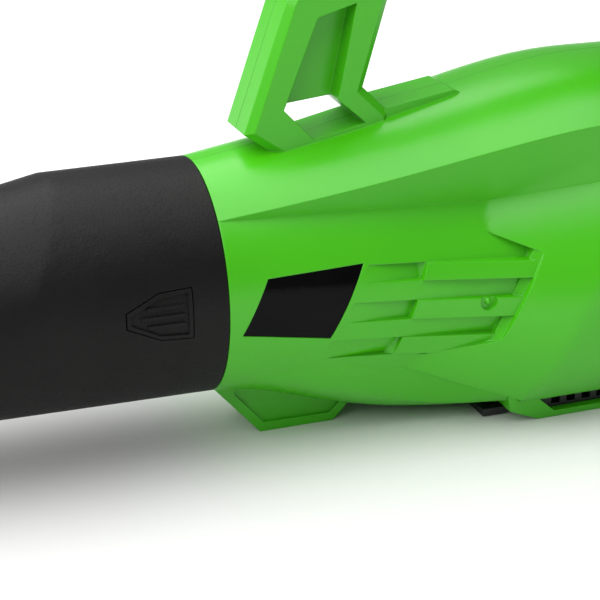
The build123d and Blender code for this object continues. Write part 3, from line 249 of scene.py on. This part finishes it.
def glass_filled_nylon():
    """Nylon with a third of chopped glass: a dull grey with pale fibre streaks along the flow."""
    material, tree, shader = new_material("Glass-filled nylon, grey", metallic=0.0, roughness=0.5, ior=1.53)
    flow = stretched(tree, object_position(tree), along=0.25)
    fibres = mottle(tree, shader, flow, "#2D2F31", "#3B3D3F", size_mm=1.6, detail=5.0)
    vary_roughness(tree, shader, fibres.outputs["Fac"], low=0.42, high=0.58)
    grain(tree, shader, fibres.outputs["Fac"], depth_mm=0.03, strength=0.3, edge_mm=0.4)
    return material


def moulded_grip_rubber(finish):
    """Thermoplastic elastomer moulded over the handle: a soft black with small pips, almost no gloss."""
    material, tree, shader = new_material("Moulded thermoplastic elastomer, black",
                                          metallic=0.0, roughness=0.68, ior=1.5)
    position = object_position(tree)
    mottle(tree, shader, position, "#191A1A", "#212222", size_mm=12)
    pips = add_node(tree, "ShaderNodeTexVoronoi",
                    {"Vector": position, "Scale": 1 / (finish.grip_pip * MM), "Randomness": 0.15},
                    feature="SMOOTH_F1")
    vary_roughness(tree, shader, pips.outputs["Distance"], low=0.62, high=0.75)
    grain(tree, shader, pips.outputs["Distance"], depth_mm=0.25, strength=0.8, edge_mm=0.5)
    return material


def zinc_plated_steel():
    """Turned steel with bright zinc: a cool grey metal with fine turning lines."""
    material, tree, shader = new_material("Zinc-plated steel", metallic=1.0, roughness=0.3)
    turned = stretched(tree, object_position(tree), across=0.2)
    lines = mottle(tree, shader, turned, "#A9ABAE", "#BFC1C3", size_mm=0.8)
    vary_roughness(tree, shader, lines.outputs["Fac"], low=0.24, high=0.38)
    grain(tree, shader, lines.outputs["Fac"], depth_mm=0.01, strength=0.3, edge_mm=0.2)
    return material


def drawn_spring_steel():
    """Drawn and tempered wire and strip: a warm grey with marks along its length."""
    material, tree, shader = new_material("Drawn spring steel", metallic=1.0, roughness=0.34)
    drawn = stretched(tree, object_position(tree), along=0.1)
    marks = mottle(tree, shader, drawn, "#8A857C", "#A7A29A", size_mm=0.6)
    vary_roughness(tree, shader, marks.outputs["Fac"], low=0.28, high=0.42)
    return material


def extruded_aluminium():
    """Extruded aluminium, left bare: a pale metal with die lines along its length."""
    material, tree, shader = new_material("Extruded aluminium", metallic=1.0, roughness=0.35)
    drawn = stretched(tree, object_position(tree), along=0.05)
    lines = mottle(tree, shader, drawn, "#B9BBBD", "#CBCCCE", size_mm=0.7)
    vary_roughness(tree, shader, lines.outputs["Fac"], low=0.28, high=0.44)
    return material


def enamelled_copper():
    """Wound enamelled wire: rows of bundled strands with a brown gloss."""
    material, tree, shader = new_material("Enamelled copper wire", metallic=1.0, roughness=0.28)
    position = object_position(tree)
    mottle(tree, shader, position, "#A85B2B", "#C0703A", size_mm=6)
    # The wave rises and falls once in tau times this length, so a bundle of strands is 5 mm wide.
    radian_mm = 0.8
    turns = add_node(tree, "ShaderNodeTexWave",
                     {"Vector": position, "Scale": 1 / (radian_mm * MM * WAVE_RADIANS)},
                     bands_direction="X", wave_profile="SIN")
    vary_roughness(tree, shader, turns.outputs["Fac"], low=0.22, high=0.36)
    grain(tree, shader, turns.outputs["Fac"], depth_mm=0.3, strength=0.8, edge_mm=0.1)
    return material


def tinned_brass():
    """Stamped brass with a thin tin wash: a pale yellow metal, brighter where it rubs."""
    material, tree, shader = new_material("Tinned brass", metallic=1.0, roughness=0.3)
    rubbed = mottle(tree, shader, object_position(tree), "#B79B57", "#C9B989", size_mm=3)
    vary_roughness(tree, shader, rubbed.outputs["Fac"], low=0.24, high=0.4)
    return material


def solder_masked_laminate():
    """Glass-epoxy board under green solder mask: a smooth gloss with tracks showing through."""
    material, tree, shader = new_material("Solder-masked laminate", metallic=0.0, roughness=0.22, ior=1.55)
    position = object_position(tree)
    tracks = add_node(tree, "ShaderNodeTexBrick",
                      {"Vector": position, "Color1": linear("#0E4424"), "Color2": linear("#115029"),
                       "Mortar": linear("#0A3219"), "Scale": 1 / (6 * MM), "Mortar Size": 0.06})
    tree.links.new(tracks.outputs["Color"], shader.inputs["Base Color"])
    dust = add_node(tree, "ShaderNodeTexNoise", {"Vector": position, "Scale": 1 / (2 * MM)})
    vary_roughness(tree, shader, dust.outputs["Fac"], low=0.18, high=0.3)
    return material


def shrunk_cell_sleeve():
    """PVC shrunk over steel cells: a blue gloss with faint pull lines round the can."""
    material, tree, shader = new_material("Heat-shrunk PVC, blue", metallic=0.0, roughness=0.25, ior=1.53)
    pulled = stretched(tree, object_position(tree), across=0.3)
    pull = mottle(tree, shader, pulled, "#1B4B97", "#2058AA", size_mm=4)
    vary_roughness(tree, shader, pull.outputs["Fac"], low=0.2, high=0.34)
    return material


def wire_insulation(name, first, second):
    """Extruded soft insulation: an even colour with a waxy gloss that wanders along the wire."""
    material, tree, shader = new_material(name, metallic=0.0, roughness=0.45, ior=1.45)
    wax = mottle(tree, shader, object_position(tree), first, second, size_mm=8)
    vary_roughness(tree, shader, wax.outputs["Fac"], low=0.38, high=0.55)
    return material


# ---------------------------------------------------------------- studio


def facing(direction):
    """The turn that points a light or a camera along a direction."""
    return direction.to_track_quat("-Z", "Y").to_euler()


def lay_floor(scene, studio):
    """A matte white paper floor, wide enough that its rim lies far off."""
    mesh = bpy.data.meshes.new("studio_floor")
    disc = bmesh.new()
    bmesh.ops.create_circle(disc, cap_ends=True, segments=FLOOR_SEGMENTS, radius=studio.floor_radius)
    disc.to_mesh(mesh)
    disc.free()
    floor = bpy.data.objects.new("studio_floor", mesh)
    scene.collection.objects.link(floor)
    material, tree, shader = new_material("Matte white paper sweep", metallic=0.0, roughness=0.8)
    fibre = mottle(tree, shader, object_position(tree), studio.floor_colour_dark, studio.floor_colour,
                   size_mm=4)
    vary_roughness(tree, shader, fibre.outputs["Fac"], low=0.75, high=0.9)
    mesh.materials.append(material)


def hang_light(scene, studio):
    """One broad source overhead, as even far out on the floor as beside the blower."""
    lamp = bpy.data.lights.new("soft_overhead", "SUN")
    lamp.angle, lamp.energy = studio.light_spread, studio.light_strength
    light = bpy.data.objects.new("soft_overhead", lamp)
    light.location = studio.light_from
    light.rotation_euler = facing(-Vector(studio.light_from))
    scene.collection.objects.link(light)


def fill_room(scene, studio):
    """An even white room, and colours shown as they are."""
    world = bpy.data.worlds.new("White studio room")
    world.use_nodes = True
    world.node_tree.nodes.clear()
    sky = add_node(world.node_tree, "ShaderNodeBackground",
                   {"Color": linear("#FFFFFF"), "Strength": studio.sky})
    add_node(world.node_tree, "ShaderNodeOutputWorld", {"Surface": sky.outputs["Background"]})
    scene.world = world
    scene.view_settings.view_transform = "Standard"


def set_camera(scene, studio):
    """A long lens from the left and above, which leaves out the nozzle's tip and the rear."""
    lens = bpy.data.cameras.new("camera")
    lens.lens, lens.sensor_width = studio.lens, SENSOR_WIDTH
    lens.clip_start, lens.clip_end = CLIP_START, CLIP_END
    camera = bpy.data.objects.new("camera", lens)
    camera.location = studio.camera
    camera.rotation_euler = facing(Vector(studio.aim) - Vector(studio.camera))
    scene.collection.objects.link(camera)
    scene.camera = camera


# ---------------------------------------------------------------- settings


class LeafBlowerFinish(bpy.types.PropertyGroup):
    """Colours and grains of the blower's visible parts"""

    shell_colour: bpy.props.StringProperty(
        name="Shell colour", description="Lighter sRGB hex colour of the housing's green",
        default="#40AE09")
    shell_colour_dark: bpy.props.StringProperty(
        name="Shell shade", description="Darker sRGB hex colour mixed into the housing's green",
        default="#3DA908")
    shell_grain: bpy.props.FloatProperty(
        name="Shell grain", description="Grain size of the housing, in millimetres",
        default=1.1, min=0.3, max=5)
    nozzle_grain: bpy.props.FloatProperty(
        name="Nozzle grain", description="Grain size of the nozzle, in millimetres",
        default=0.8, min=0.3, max=5)
    grip_pip: bpy.props.FloatProperty(
        name="Grip pips", description="Spacing of the grip's pips, in millimetres",
        default=2.2, min=0.5, max=6)
    soft_angle: bpy.props.FloatProperty(
        name="Soft angle", description="Edges flatter than this shade smoothly",
        default=math.radians(24), subtype="ANGLE", unit="ROTATION")


class LeafBlowerStudio(bpy.types.PropertyGroup):
    """Camera, light and floor of the studio"""

    lens: bpy.props.FloatProperty(
        name="Lens", description="Focal length on a 36 mm sensor", default=96.0, unit="CAMERA")
    camera: bpy.props.FloatVectorProperty(
        name="Camera", description="Where the camera stands", default=(-0.16417, -0.59093, 0.30679),
        subtype="TRANSLATION", unit="LENGTH")
    aim: bpy.props.FloatVectorProperty(
        name="Aim", description="The point that the camera looks at", default=(0.04428, -0.01871, 0.05976),
        subtype="TRANSLATION", unit="LENGTH")
    floor_colour: bpy.props.StringProperty(
        name="Floor colour", description="Lighter sRGB hex colour of the floor", default="#DADAD9")
    floor_colour_dark: bpy.props.StringProperty(
        name="Floor shade", description="Darker sRGB hex colour mixed into the floor's", default="#D9D9D8")
    floor_radius: bpy.props.FloatProperty(
        name="Floor radius", description="Radius of the round floor", default=30.0, unit="LENGTH")
    light_from: bpy.props.FloatVectorProperty(
        name="Light from", description="The direction that the overhead light comes from",
        default=(-1.0, 0.3, 2.1), subtype="XYZ", unit="LENGTH")
    light_spread: bpy.props.FloatProperty(
        name="Light spread", description="How wide the overhead light looks from the blower",
        default=math.radians(104), subtype="ANGLE", unit="ROTATION")
    light_strength: bpy.props.FloatProperty(
        name="Light strength", description="Light that falls on a facing surface, in watts per square metre",
        default=5.8)
    sky: bpy.props.FloatProperty(
        name="Room light", description="Strength of the even white light all round", default=0.26)


# ---------------------------------------------------------------- parts


class OBJECT_OT_blower_housing(bpy.types.Operator):
    """Finish the two green halves of the housing"""

    bl_idname = "object.blower_housing"
    bl_label = "Housing"

    def execute(self, context):
        finish = context.scene.leaf_blower_finish
        return dress_all((("housing_left", "left_housing"), ("housing_right", "right_housing")),
                         satin_green_abs(finish), finish)


class OBJECT_OT_blower_plates(bpy.types.Operator):
    """Finish the bare name plates"""

    bl_idname = "object.blower_plates"
    bl_label = "Name plates"

    def execute(self, context):
        finish = context.scene.leaf_blower_finish
        return dress_all((("name_plate_left", "left_plate"), ("name_plate_right", "right_plate")),
                         polished_black_abs(), finish)


class OBJECT_OT_blower_nozzle(bpy.types.Operator):
    """Finish the nozzle and its two release buttons"""

    bl_idname = "object.blower_nozzle"
    bl_label = "Nozzle and release buttons"

    def execute(self, context):
        finish = context.scene.leaf_blower_finish
        parts = (("nozzle_tube", "nozzle"), ("release_button_left", "left_release_button"),
                 ("release_button_right", "right_release_button"))
        return dress_all(parts, grained_black_polypropylene(finish), finish)


class OBJECT_OT_blower_black_parts(bpy.types.Operator):
    """Finish the intake grille, trigger, switch and battery case"""

    bl_idname = "object.blower_black_parts"
    bl_label = "Grille, trigger and battery case"

    def execute(self, context):
        finish = context.scene.leaf_blower_finish
        parts = (("intake_grille", "grille"), ("trigger", "trigger_lever"),
                 ("trigger_switch", "switch_case"), ("battery_case", "battery_tub"),
                 ("battery_lid", "battery_cover"), ("terminal_block", "terminal_holder"))
        return dress_all(parts, moulded_black_abs(), finish)


class OBJECT_OT_blower_latch(bpy.types.Operator):
    """Finish the battery's release latch"""

    bl_idname = "object.blower_latch"
    bl_label = "Battery latch"

    def execute(self, context):
        finish = context.scene.leaf_blower_finish
        return dress_all((("battery_latch_button", "battery_latch_key"),),
                         satin_green_abs(finish), finish)


class OBJECT_OT_blower_grip(bpy.types.Operator):
    """Finish the rubber grip and the boost button"""

    bl_idname = "object.blower_grip"
    bl_label = "Grip and boost button"

    def execute(self, context):
        finish = context.scene.leaf_blower_finish
        return dress_all((("hand_grip", "grip_sleeve"), ("boost_button", "boost_key")),
                         moulded_grip_rubber(finish), finish)


class OBJECT_OT_blower_fan(bpy.types.Operator):
    """Finish the fan, its duct, the tail cone and the switch plunger"""

    bl_idname = "object.blower_fan"
    bl_label = "Fan and duct"

    def execute(self, context):
        finish = context.scene.leaf_blower_finish
        parts = (("fan_duct", "duct"), ("tail_cone", "duct_tail"), ("fan_rotor", "fan"),
                 ("switch_plunger", "plunger"))
        return dress_all(parts, glass_filled_nylon(), finish)


class OBJECT_OT_blower_steel(bpy.types.Operator):
    """Finish the steel parts of the motor, the screws and the pin"""

    bl_idname = "object.blower_steel"
    bl_label = "Motor steel and screws"

    def execute(self, context):
        finish = context.scene.leaf_blower_finish
        parts = (("fan_nut", "nut"), ("motor_shaft", "shaft"), ("motor_bearings", "bearings"),
                 ("motor_can", "can"), ("motor_stator", "stator"), ("magnet_rotor", "rotor"),
                 ("motor_screws", "motor_fixings"), ("trigger_pin", "pin"), ("cell_links", "cell_straps"),
                 ("housing_screws", "screws"))
        return dress_all(parts, zinc_plated_steel(), finish)


class OBJECT_OT_blower_springs(bpy.types.Operator):
    """Finish the springs"""

    bl_idname = "object.blower_springs"
    bl_label = "Springs"

    def execute(self, context):
        finish = context.scene.leaf_blower_finish
        parts = (("release_spring_left", "left_release_leaf"),
                 ("release_spring_right", "right_release_leaf"), ("trigger_spring", "trigger_leaf"),
                 ("boost_spring", "boost_return"), ("battery_latch_spring", "latch_return"))
        return dress_all(parts, drawn_spring_steel(), finish)


class OBJECT_OT_blower_metals(bpy.types.Operator):
    """Finish the aluminium, copper and brass parts"""

    bl_idname = "object.blower_metals"
    bl_label = "Aluminium, copper and brass"

    def execute(self, context):
        finish = context.scene.leaf_blower_finish
        dress_all((("motor_end_bell", "end_bell"), ("heat_sink", "sink")),
                  extruded_aluminium(), finish)
        dress_all((("motor_windings", "windings"),), enamelled_copper(), finish)
        return dress_all((("terminal_blades", "blades"), ("battery_contacts", "contacts")),
                         tinned_brass(), finish)


class OBJECT_OT_blower_electrics(bpy.types.Operator):
    """Finish the board, the cells and the leads"""

    bl_idname = "object.blower_electrics"
    bl_label = "Board, cells and leads"

    def execute(self, context):
        finish = context.scene.leaf_blower_finish
        dress_all((("control_board", "board"),), solder_masked_laminate(), finish)
        dress_all((("battery_cells", "cells"),), shrunk_cell_sleeve(), finish)
        dress_all((("battery_leads", "supply_wires"),),
                  wire_insulation("Silicone insulation, red", "#A01812", "#B01E16"), finish)
        return dress_all((("motor_leads", "motor_wires"), ("switch_leads", "switch_wires")),
                         wire_insulation("PVC insulation, black", "#151516", "#1D1D1E"),
                         finish)


class OBJECT_OT_blower_studio(bpy.types.Operator):
    """Lay the pale floor, hang the light and set the camera"""

    bl_idname = "object.blower_studio"
    bl_label = "Studio"

    def execute(self, context):
        studio = context.scene.leaf_blower_studio
        lay_floor(context.scene, studio)
        hang_light(context.scene, studio)
        fill_room(context.scene, studio)
        set_camera(context.scene, studio)
        return {"FINISHED"}


PART_OPERATORS = (
    OBJECT_OT_blower_housing,
    OBJECT_OT_blower_plates,
    OBJECT_OT_blower_nozzle,
    OBJECT_OT_blower_black_parts,
    OBJECT_OT_blower_latch,
    OBJECT_OT_blower_grip,
    OBJECT_OT_blower_fan,
    OBJECT_OT_blower_steel,
    OBJECT_OT_blower_springs,
    OBJECT_OT_blower_metals,
    OBJECT_OT_blower_electrics,
    OBJECT_OT_blower_studio,
)


class VIEW3D_PT_leaf_blower(bpy.types.Panel):
    """The blower's parts and finishes"""

    bl_idname = "VIEW3D_PT_leaf_blower"
    bl_label = "Leaf blower"
    bl_space_type = "VIEW_3D"
    bl_region_type = "UI"
    bl_category = "Leaf blower"

    def draw(self, context):
        column = self.layout.column()
        for settings in (context.scene.leaf_blower_finish, context.scene.leaf_blower_studio):
            for name in settings.__annotations__:
                column.prop(settings, name)
        for part in PART_OPERATORS:
            column.operator(part.bl_idname)


CLASSES = (LeafBlowerFinish, LeafBlowerStudio) + PART_OPERATORS + (VIEW3D_PT_leaf_blower,)


def register():
    for each in CLASSES:
        bpy.utils.register_class(each)
    bpy.types.Scene.leaf_blower_finish = bpy.props.PointerProperty(type=LeafBlowerFinish)
    bpy.types.Scene.leaf_blower_studio = bpy.props.PointerProperty(type=LeafBlowerStudio)


def unregister():
    del bpy.types.Scene.leaf_blower_studio
    del bpy.types.Scene.leaf_blower_finish
    for each in reversed(CLASSES):
        bpy.utils.unregister_class(each)


def main():
    register()
    bpy.ops.object.blower_housing()
    bpy.ops.object.blower_plates()
    bpy.ops.object.blower_nozzle()
    bpy.ops.object.blower_black_parts()
    bpy.ops.object.blower_latch()
    bpy.ops.object.blower_grip()
    bpy.ops.object.blower_fan()
    bpy.ops.object.blower_steel()
    bpy.ops.object.blower_springs()
    bpy.ops.object.blower_metals()
    bpy.ops.object.blower_electrics()
    bpy.ops.object.blower_studio()


if __name__ == "__main__":
    main()
